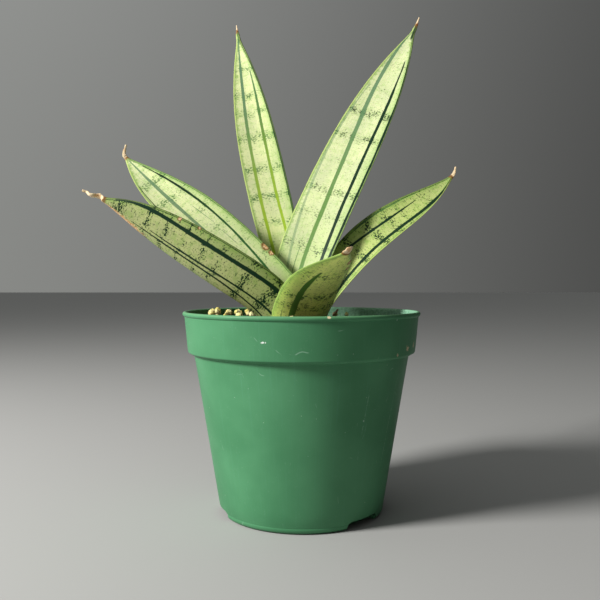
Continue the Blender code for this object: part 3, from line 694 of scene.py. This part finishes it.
def pot_profile():
    """Section of the pot from the middle of its underside, up the outside and back in."""
    lip_low = POT_TOP - LIP_HEIGHT
    bead = 0.5 * LIP_HEIGHT
    points = [(0.0, 0.0), (0.5 * BASE_RADIUS, 0.0)]
    points += arc((wall_radius(CORNER) - CORNER, CORNER), CORNER, -90.0, 0.0, 10)
    for k in range(1, 3):
        height = CORNER + 0.35 * MM * k
        points.append((wall_radius(height) - 0.12 * MM * (k % 2), height))
    for k in range(1, 12):
        height = CORNER + 1.2 * MM + (COLLAR_LOW - CORNER - 2.2 * MM) * k / 12.0
        points.append((wall_radius(height), height))
    points += [(x, z) for x, z in arc((WALL_TOP_RADIUS + 0.5 * MM, COLLAR_LOW - 0.5 * MM), 0.5 * MM,
            180.0, 90.0, 5)]
    points += arc((COLLAR_LOW_RADIUS - 0.8 * MM, COLLAR_LOW + 0.8 * MM), 0.8 * MM, -90.0, 0.0, 8)
    for k in range(1, 6):
        share = k / 6.0
        points.append((COLLAR_LOW_RADIUS + COLLAR_DRAFT * share, COLLAR_LOW + (COLLAR_DEPTH
                    - LIP_HEIGHT) * share))
    points.append((COLLAR_TOP_RADIUS, lip_low - 0.1 * MM))
    points += arc((RIM_RADIUS - bead, POT_TOP - bead), bead, -60.0, 170.0, 18)
    points.append((inner_radius(lip_low), lip_low))
    for k in range(1, 5):
        height = lip_low + (COLLAR_LOW - lip_low) * k / 5.0
        points.append((inner_radius(height), height))
    points += arc((inner_radius(COLLAR_LOW) - 0.5 * MM, COLLAR_LOW), 0.5 * MM, 0.0, -90.0, 4)
    points.append((WALL_TOP_RADIUS - WALL, COLLAR_LOW - 1.4 * WALL))
    inside = CORNER - 0.6 * WALL
    low = FLOOR + inside
    for k in range(1, 8):
        height = COLLAR_LOW - 1.4 * WALL + (low - COLLAR_LOW + 1.4 * WALL) * k / 8.0
        points.append((inner_radius(height), height))
    points += arc((inner_radius(low) - inside, low), inside, 0.0, -90.0, 6)
    points.append((0.0, FLOOR))
    return points


def lathe(name, profile, segments):
    """Turns a profile that starts and ends on the axis."""
    bm = bmesh.new()
    rings = []
    for radius, height in profile:
        if radius < 1e-7:
            rings.append([bm.verts.new((0.0, 0.0, height))])
            continue
        rings.append([bm.verts.new((radius * math.cos(2.0 * math.pi * k / segments),
                        radius * math.sin(2.0 * math.pi * k / segments), height))
                for k in range(segments)])
    for low, high in zip(rings[:-1], rings[1:]):
        for k in range(segments):
            n = (k + 1) % segments
            loop = [low[k % len(low)], low[n % len(low)], high[n % len(high)], high[k % len(high)]]
            bm.faces.new(list(dict.fromkeys(loop)))
    bmesh.ops.recalc_face_normals(bm, faces=bm.faces)
    return into_scene(name, close_mesh(bm, name))


def notch_block(index):
    """An arched block that opens one drain notch across the foot."""
    angle = NOTCH_FIRST + 2.0 * math.pi * index / NOTCH_COUNT
    half = 0.5 * NOTCH_WIDTH
    rounding = min(2.4 * MM, 0.9 * NOTCH_HEIGHT)
    outline = [(-half, -2.0 * MM), (half, -2.0 * MM)]
    outline += arc((half - rounding, NOTCH_HEIGHT - rounding), rounding, 0.0, 90.0, 8)
    outline += arc((rounding - half, NOTCH_HEIGHT - rounding), rounding, 90.0, 180.0, 8)
    along = Vector((math.cos(angle), math.sin(angle), 0.0))
    across = Vector((-math.sin(angle), math.cos(angle), 0.0))
    bm = bmesh.new()
    rings = []
    for reach in (BASE_RADIUS - NOTCH_REACH, BASE_RADIUS + 4.0 * MM):
        rings.append([bm.verts.new(along * reach + across * u + Vector((0.0, 0.0, v))) for u,
                v in outline])
    count = len(outline)
    for k in range(count):
        n = (k + 1) % count
        bm.faces.new((rings[0][k], rings[0][n], rings[1][n], rings[1][k]))
    bm.faces.new(rings[0])
    bm.faces.new(rings[1])
    bmesh.ops.recalc_face_normals(bm, faces=bm.faces)
    block = into_scene("notch_block_%d" % index, close_mesh(bm, "notch_block"))
    return block


def make_pot_material():
    """Satin green plastic with fine scratches, dust, scuffs and dried soil specks, plus a painted
    highlight on the lip, a painted reflection line on the wall and painted light and shade on the
    dusty inner wall.
    """
    material, net, shader = new_material("pot_green_plastic")
    where = object_mm(net)
    x, y, z = net.add("ShaderNodeSeparateXYZ", (where,)).outputs
    turn = net.math("ARCTAN2", x, net.times(y, -1.0))
    round_mm = net.times(turn, 44.0)
    wall = net.vector(round_mm, z, 0.0)
    cloud = net.noise(where, 0.035, 3.0)
    dust = net.noise(where, 0.9, 4.0, 0.65)
    vertical = net.noise(net.vmath("MULTIPLY", wall, (1.0, 0.03, 1.0)), 0.9, 3.0)
    colour = net.mix(net.step(cloud, 0.3, 0.7), (0.058, 0.215, 0.098), (0.082, 0.27, 0.13))
    colour = net.mix(net.step(vertical, 0.52, 0.8, 0.0, 0.22), colour, (0.1, 0.3, 0.18))
    colour = net.mix(net.step(dust, 0.58, 0.8, 0.0, 0.3), colour, (0.17, 0.34, 0.22))

    # painted highlight: a lighter band along the top of the lip
    lip_painted_highlight = net.step(z, POT_TOP / MM - 1.0, POT_TOP / MM - 0.2, 0.0, 0.5)
    colour = net.mix(lip_painted_highlight, colour, (0.16, 0.36, 0.18))

    # hair-thin scratches: edges of long, bent cells shown in patches
    marks = []
    for scale, stretch, low, shown, seed in ((0.06, (1.0, 0.45, 1.0), 0.006, 0.62, 3.0),
        (0.11, (0.3, 1.0, 1.0), 0.009, 0.65, 11.0), (0.18, (1.0, 0.8, 1.0), 0.01, 0.66, 19.0)):
        bent = net.vmath("ADD", net.vmath("MULTIPLY", wall, stretch),
            net.scale(net.add("ShaderNodeTexNoise", {"Vector": wall, "Scale": 0.05}).outputs["Color"],
                9.0))
        bent = net.vmath("ADD", bent, (seed * 7.0, seed * 3.0, seed))
        edge = net.cells(bent, scale, "DISTANCE_TO_EDGE").outputs["Distance"]
        line = net.fade(edge, 0.0, low)
        patch = net.step(net.noise(net.vmath("ADD", wall, (seed, 0.0, 0.0)), 0.11, 2.0), shown,
            shown + 0.05)
        marks.append(net.times(line, patch))
    # one long upright scuff on the wall and a short one by its side, and a long upright light line at
    # 41 mm round that is a painted reflection along a moulding edge
    for around, low, high, lean, width in ((25.0, 36.0, 58.0, 0.09, 0.22), (24.0, 25.0, 34.0, 0.02,
            0.18), (41.0, 22.0, 61.0, 0.1, 0.26)):
        line = net.times_plus(net.minus(z, low), lean, around)
        line = net.times_plus(cloud, 2.5, line)
        far = net.math("ABSOLUTE", net.minus(round_mm, line))
        line = net.fade(far, 0.4 * width, width)
        line = net.times(line, net.step(z, low, low + 6.0))
        line = net.times(line, net.fade(z, high - 6.0, high))
        marks.append(net.times(line, net.step(dust, 0.42, 0.62)))
    scratches_and_painted_reflection = net.most(marks)
    # the scratches, the scuffs and the painted reflection line lighten the colour
    colour = net.mix(net.times(scratches_and_painted_reflection, 0.58), colour, (0.3, 0.5, 0.37))

    # pale specks, most of them low on the collar and by the foot
    speck_mask = []
    for size, keep in ((0.16, 0.72), (0.36, 0.76)):
        speck = net.cells(where, size)
        pick = net.add("ShaderNodeSeparateColor", (speck.outputs["Color"],)).outputs[0]
        near = net.step(net.math("ABSOLUTE", net.minus(z, COLLAR_LOW / MM + 1.6)), 0.6, 2.2, 0.22,
            0.0)
        foot = net.step(z, 1.5, 4.0, 0.22, 0.0)
        pick = net.plus(pick, net.plus(near, foot))
        dot = net.fade(speck.outputs["Distance"], 0.035, 0.07)
        speck_mask.append(net.times(dot, net.step(pick, keep, keep + 0.03)))
    colour = net.mix(net.times(net.most(speck_mask), 0.8), colour, (0.42, 0.58, 0.46))

    # a few marks at their own places: (mm round from the front, mm up, size, squash, colour)
    for around, up, size, squash, tint in ((-13.0, POT_TOP / MM - 9.6, 1.5, 0.45, (0.8, 0.84, 0.8)),
        (46.0, COLLAR_LOW / MM + 3.2, 1.9, 1.0, (0.62, 0.5, 0.3)), (53.0, COLLAR_LOW / MM + 4.0, 1.4,
            1.6, (0.62, 0.5, 0.3)), (38.5, COLLAR_LOW / MM + 1.4, 1.1, 1.0, (0.5, 0.45, 0.28)),
        (8.6, POT_TOP / MM - 0.6, 1.0, 0.9, (0.85, 0.72, 0.46))):
        dx = net.minus(round_mm, around)
        dz = net.math("DIVIDE", net.minus(z, up), squash)
        far = net.vmath("LENGTH", net.vector(dx, dz, 0.0))
        far = net.times_plus(net.minus(dust, 0.5), 2.4 * size, far)
        colour = net.mix(net.step(far, 0.35 * size, 0.6 * size, 0.9, 0.0), colour, tint)

    # dust on the inner wall, lighter on the lit right side and darker on the shaded left side as
    # painted light and painted shade
    reach = net.vmath("LENGTH", net.vector(x, y, 0.0))
    middle = (COLLAR_LOW_RADIUS - 0.5 * WALL) / MM
    over = net.minus(reach, net.times_plus(net.minus(z, COLLAR_LOW / MM), COLLAR_DRAFT / (COLLAR_DEPTH
                - LIP_HEIGHT), middle))
    inside = net.times(net.fade(over, -0.3, 0.1), net.step(z, COLLAR_LOW / MM - 0.5,
            COLLAR_LOW / MM + 0.5))
    dust_and_painted_light = net.times(inside, net.step(dust, 0.3, 0.62, 0.25, 0.75))
    # painted light and shade: the dust tint is full on the lit right side and almost gone on the
    # shaded left side
    dust_and_painted_light = net.times(dust_and_painted_light, net.step(x, -10.0, 25.0, 0.05, 1.0))
    colour = net.mix(dust_and_painted_light, colour, (0.32, 0.58, 0.42))

    rough = net.times_plus(dust, 0.22, 0.36)
    rough = net.plus(rough, net.times(scratches_and_painted_reflection, 0.15))
    height = net.times(net.noise(where, 1.7, 4.0), 0.6)
    height = net.times_plus(scratches_and_painted_reflection, -0.5, height)
    height = net.times_plus(vertical, 0.4, height)
    set_surface(net, shader, colour, rough, height, 0.22, 0.0002)
    shader.inputs["Specular IOR Level"].default_value = 0.2
    return material


def make_pot():
    pot = lathe("nursery_pot_fine", pot_profile(), 256)
    blocks = [notch_block(index) for index in range(NOTCH_COUNT)]
    for block in blocks:
        cut = pot.modifiers.new("notch", "BOOLEAN")
        cut.operation = "DIFFERENCE"
        cut.solver = "EXACT"
        cut.object = block
    graph = bpy.context.evaluated_depsgraph_get()
    graph.update()
    mesh = bpy.data.meshes.new_from_object(pot.evaluated_get(graph), depsgraph=graph)
    pot.modifiers.clear()
    pot.data = mesh
    for block in blocks:
        bpy.data.objects.remove(block)
    mesh.materials.clear()
    mesh.materials.append(make_pot_material())
    mesh.polygons.foreach_set("use_smooth", [True] * len(mesh.polygons))
    mesh.set_sharp_from_angle(angle=math.radians(32.0))
    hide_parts("nursery_pot")
    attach(pot, "root")


# ------------------------------------------------------------------ mix, grains and chips

SOIL_DROP = 5.4 * MM
SOIL_MOUND = 3.2 * MM
SOIL_MOUND_X = -6.0 * MM
SOIL_MOUND_SPREAD = 34.0 * MM
SOIL_TILT = 0.012


def soil_height(x, y):
    spread = ((x - SOIL_MOUND_X) ** 2 + y ** 2) / SOIL_MOUND_SPREAD ** 2
    return POT_TOP - SOIL_DROP + SOIL_MOUND * math.exp(-spread) - SOIL_TILT * x


def make_mix_material(name, dark, light, fleck):
    """Damp dark mix: clods, fibres and pale grit."""
    material, net, shader = new_material(name)
    where = object_mm(net)
    clod = net.noise(where, 0.45, 4.0, 0.65)
    fibre = net.noise(net.vmath("MULTIPLY", where, (1.0, 0.3, 0.8)), 2.2, 3.0)
    grit = net.cells(where, 0.9)
    pick = net.add("ShaderNodeSeparateColor", (grit.outputs["Color"],)).outputs[1]
    colour = net.mix(net.step(clod, 0.35, 0.65), dark, light)
    colour = net.mix(net.step(fibre, 0.55, 0.7, 0.0, 0.6), colour, (0.16, 0.095, 0.05))
    pale = net.times(net.fade(grit.outputs["Distance"], 0.18, 0.28), net.step(pick, 0.86, 0.9))
    colour = net.mix(net.times(pale, fleck), colour, (0.55, 0.45, 0.28))
    rough = net.times_plus(clod, 0.2, 0.72)
    height = net.plus(clod, net.times(fibre, 0.5))
    set_surface(net, shader, colour, rough, height, 0.8, 0.0006)
    return material


def make_crumb_tree():
    """Scatters uneven crumbs over the top of the mix."""
    tree, net, given = new_geometry_tree("mix_crumbs", (("Density", "Float", 400000.0),
            ("Smallest", "Float", 0.4), ("Largest", "Float", 1.0), ("Flatness", "Float", 0.7),
            ("Seed", "Int", 3), ("Skin", "Material", None)))
    points = net.add("GeometryNodeDistributePointsOnFaces", {"Mesh": given["Geometry"],
            "Density": given["Density"], "Seed": given["Seed"]},
        distribute_method="RANDOM").outputs[0]
    ball = net.add("GeometryNodeMeshIcoSphere", {"Radius": 0.001, "Subdivisions": 2}).outputs[0]
    spot = net.add("GeometryNodeInputPosition").outputs[0]
    lump = net.minus(net.noise(net.scale(spot, 900.0), 1.0, 2.0), 0.4)
    ball = net.add("GeometryNodeSetPosition", {"Geometry": ball, "Offset": net.scale(spot,
                net.times(lump, 1.1))}).outputs[0]
    turn = net.add("FunctionNodeRandomValue", data_type="FLOAT_VECTOR")
    net.put(turn.inputs[0], (0.0, 0.0, 0.0))
    net.put(turn.inputs[1], (6.28, 6.28, 6.28))
    net.put(turn.inputs["Seed"], given["Seed"])
    size = net.add("FunctionNodeRandomValue", data_type="FLOAT")
    net.put(size.inputs[2], given["Smallest"])
    net.put(size.inputs[3], given["Largest"])
    net.put(size.inputs["Seed"], net.plus(given["Seed"], 5.0))
    flat = net.vector(size.outputs[1], size.outputs[1], net.times(size.outputs[1], given["Flatness"]))
    crumbs = net.add("GeometryNodeInstanceOnPoints", {"Points": points, "Instance": ball,
            "Rotation": turn.outputs[0], "Scale": flat})
    loose = net.add("GeometryNodeRealizeInstances", (crumbs.outputs[0],)).outputs[0]
    close_geometry_tree(net, loose, given["Skin"])
    return tree


def soil_sheet():
    """The part of the mix that crumbs may lie on: the top, clear of wall and leaves."""
    plant = []
    for name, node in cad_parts.items():
        if name.startswith("leaf_"):
            co = np.empty(len(node.data.vertices) * 3, np.float32)
            node.data.vertices.foreach_get("co", co)
            co = co.reshape(-1, 3)
            low = co[(co[:, 2] > POT_TOP - 8.0 * MM) & (co[:, 2] < POT_TOP + 4.0 * MM)]
            plant += [Vector(p) for p in low[::2]]
    rings, turns = 30, 120
    bm = bmesh.new()
    grid = []
    for i in range(rings + 1):
        radius = (SOIL_RADIUS - 1.1 * MM) * i / rings
        row = []
        for k in range(turns):
            a = 2.0 * math.pi * k / turns
            x, y = radius * math.cos(a), radius * math.sin(a)
            row.append(bm.verts.new((x, y, soil_height(x, y) - 0.25 * MM)))
        grid.append(row)
    for i in range(1, rings):
        for k in range(turns):
            n = (k + 1) % turns
            face = (grid[i][k], grid[i + 1][k], grid[i + 1][n], grid[i][n])
            middle = sum((v.co for v in face), Vector()) / 4.0
            if all((middle - p).length > 2.0 * MM for p in plant):
                bm.faces.new(face)
    bmesh.ops.recalc_face_normals(bm, faces=bm.faces)
    return close_mesh(bm, "soil_sheet")


def make_crumbs():
    tree = make_crumb_tree()
    dark = make_mix_material("mix_crumb_dark", (0.03, 0.019, 0.012), (0.085, 0.055, 0.034), 0.3)
    tan = make_mix_material("mix_crumb_tan", (0.15, 0.095, 0.05), (0.38, 0.29, 0.16), 0.6)
    sheet = soil_sheet()
    for name, material, density, small, large, seed in (("mix_crumbs_dark", dark, 420000.0, 0.35,
            0.95, 3), ("mix_crumbs_tan", tan, 60000.0, 0.3, 0.85, 8)):
        crumbs = grow(name, sheet, tree, {"Density": density, "Smallest": small, "Largest": large,
                "Flatness": 0.75, "Seed": seed, "Skin": material})
        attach(crumbs, "root")


def make_pumice_material(name, seed):
    """Porous stone, cream to yellow, with brown pits."""
    material, net, shader = new_material(name)
    where = object_mm(net)
    where = net.vmath("ADD", where, (seed * 5.0, seed * 3.0, seed))
    blotch = net.noise(where, 0.35, 3.0)
    pit = net.cells(where, 1.5).outputs["Distance"]
    fine = net.noise(where, 3.2, 4.0, 0.65)
    warm = 0.5 + 0.5 * math.sin(seed * 2.4)
    cream = (0.88, 0.83 - 0.05 * warm, 0.5 - 0.12 * warm)
    yellow = (0.74, 0.68 - 0.06 * warm, 0.17)
    colour = net.mix(net.step(blotch, 0.38, 0.66), cream, yellow)
    colour = net.mix(net.step(fine, 0.55, 0.75, 0.0, 0.5), colour, (0.36, 0.25, 0.1))
    hole = net.fade(pit, 0.05, 0.26)
    colour = net.mix(net.times(hole, 0.6), colour, (0.13, 0.08, 0.03))
    height = net.minus(fine, hole)
    set_surface(net, shader, colour, net.times_plus(fine, 0.15, 0.75), height, 0.9, 0.0003)
    return material


def make_bark_material():
    """Layered brown bark."""
    material, net, shader = new_material("bark_layers")
    where = object_mm(net)
    layer = net.noise(net.vmath("MULTIPLY", where, (0.5, 0.8, 3.0)), 1.0, 4.0, 0.6)
    crack = net.noise(net.vmath("MULTIPLY", where, (2.5, 0.6, 1.0)), 1.2, 3.0)
    colour = net.mix(net.step(layer, 0.35, 0.65), (0.22, 0.1, 0.055), (0.5, 0.3, 0.19))
    colour = net.mix(net.step(crack, 0.58, 0.68, 0.0, 0.8), colour, (0.045, 0.022, 0.012))
    height = net.plus(layer, crack)
    set_surface(net, shader, colour, net.times_plus(layer, 0.2, 0.65), height, 0.9, 0.0004)
    return material


def make_stone_tree():
    """Refines a stone and roughens its skin inwards, so that it keeps inside its own size."""
    tree, net, given = new_geometry_tree("rough_stone", (("Pit size", "Float", 1.0),
            ("Pit depth", "Float", 0.0002), ("Level", "Int", 3), ("Seed", "Float", 0.0),
            ("Skin", "Material", None)))
    fine = net.add("GeometryNodeSubdivisionSurface", {"Mesh": given["Geometry"],
            "Level": given["Level"]}).outputs[0]
    spot = net.scale(net.add("GeometryNodeInputPosition").outputs[0], 1000.0)
    spot = net.vmath("ADD", spot, net.vector(given["Seed"], given["Seed"], 0.0))
    pits = net.minus(net.noise(spot, given["Pit size"], 4.0, 0.6), 0.75)
    normal = net.add("GeometryNodeInputNormal").outputs[0]
    moved = net.add("GeometryNodeSetPosition", {"Geometry": fine, "Offset": net.scale(normal,
                net.times(pits, given["Pit depth"]))})
    close_geometry_tree(net, moved.outputs[0], given["Skin"])
    return tree


def merged_copy(node, name):
    """A copy of a CAD mesh with its split corners joined."""
    bm = bmesh.new()
    bm.from_mesh(node.data)
    bmesh.ops.remove_doubles(bm, verts=bm.verts, dist=1e-6)
    return close_mesh(bm, name)


def make_loose_pieces():
    tree = make_stone_tree()
    bark = make_bark_material()
    stones = [make_pumice_material("pumice_%d" % k, 1.7 * k + 0.4) for k in range(4)]
    for index, name in enumerate(sorted(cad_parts)):
        if not name.startswith(("pumice_grain", "bark_chip")):
            continue
        chip = name.startswith("bark")
        piece = grow(name + "_fine", merged_copy(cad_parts[name], name + "_rough"), tree,
            {"Pit size": 1.6 if chip else 0.75, "Pit depth": (0.35 if chip else 1.25) * MM,
                "Level": 3, "Seed": 2.3 * index, "Skin": bark if chip
                else stones[index % len(stones)]})
        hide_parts(name)
        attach(piece, "root")


def paint_kept_nodes():
    """Materials for the CAD nodes that are shown as they are."""
    soil = make_mix_material("potting_mix_damp", (0.022, 0.014, 0.009), (0.07, 0.045, 0.028), 0.5)
    material, net, shader = new_material("rootstock_rind")
    where = object_mm(net)
    ring = net.noise(net.vmath("MULTIPLY", where, (0.3, 0.3, 2.0)), 0.8, 3.0)
    spot = net.noise(where, 0.8, 4.0)
    colour = net.mix(net.step(ring, 0.4, 0.6), (0.62, 0.44, 0.2), (0.44, 0.26, 0.1))
    colour = net.mix(net.step(spot, 0.55, 0.7, 0.0, 0.6), colour, (0.25, 0.14, 0.06))
    set_surface(net, shader, colour, net.times_plus(spot, 0.2, 0.55), ring, 0.5, 0.0004)
    for name, look in (("potting_mix", soil), ("rootstock", material)):
        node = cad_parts[name]
        node.data.materials.clear()
        node.data.materials.append(look)


# ------------------------------------------------------------------ stage, light, camera

def make_stage():
    mesh = bpy.data.meshes.new("studio_floor")
    mesh.from_pydata([(-6, -6, 0), (6, -6, 0), (6, 6, 0), (-6, 6, 0)], [], [(0, 1, 2, 3)])
    floor = into_scene("studio_floor", mesh)
    floor.location.z = CAD_BOX[0].z - 0.0002
    material, net, shader = new_material("studio_floor")
    net.put(shader.inputs["Base Color"], (0.42, 0.42, 0.415))
    shader.inputs["Roughness"].default_value = 0.9
    mesh.materials.append(material)

    world = bpy.data.worlds.new("studio")
    world.use_nodes = True
    bpy.context.scene.world = world
    net = Net(world.node_tree)
    background = world.node_tree.nodes["Background"]
    way = net.add("ShaderNodeTexCoord").outputs["Generated"]
    split = net.add("ShaderNodeSeparateXYZ", (way,))
    side = net.step(split.outputs[0], -0.7, 0.85, 0.0, 1.0)
    low = net.mix(side, (0.27, 0.275, 0.262), (0.03, 0.03, 0.03))
    high = net.mix(side, (0.4, 0.41, 0.4), (0.022, 0.022, 0.022))
    net.put(background.inputs["Color"], net.mix(net.step(split.outputs[2], 0.0, 0.9), low, high))
    background.inputs["Strength"].default_value = 1.0


def make_light(name, place, target, size, power, tint):
    data = bpy.data.lights.new(name, "AREA")
    data.shape = "DISK"
    data.size = size
    data.energy = power
    data.color = tint
    light = into_scene(name, data)
    light.location = place
    light.rotation_euler = (target - Vector(place)).to_track_quat("-Z", "Y").to_euler()


def make_lights():
    middle = Vector((0.0, 0.0, POT_TOP))
    make_light("key", (-0.745, -0.36, 0.56), middle, 0.24, 14.2, (1.0, 0.985, 0.95))
    bpy.context.scene.view_settings.view_transform = "Standard"


def make_camera():
    data = bpy.data.cameras.new("view")
    data.sensor_width = 36.0
    data.lens = 42.3
    data.clip_start = 0.01
    camera = into_scene("view", data)
    camera.location = (-0.0126 * RIM_RADIUS, -6.0 * RIM_RADIUS, POT_TOP + 0.248 * RIM_RADIUS)
    camera.rotation_euler = (math.radians(90.0 - 1.49), 0.0, 0.0)
    bpy.context.scene.camera = camera


make_pot()
make_leaves()
make_crumbs()
make_loose_pieces()
paint_kept_nodes()
make_stage()
make_lights()
make_camera()
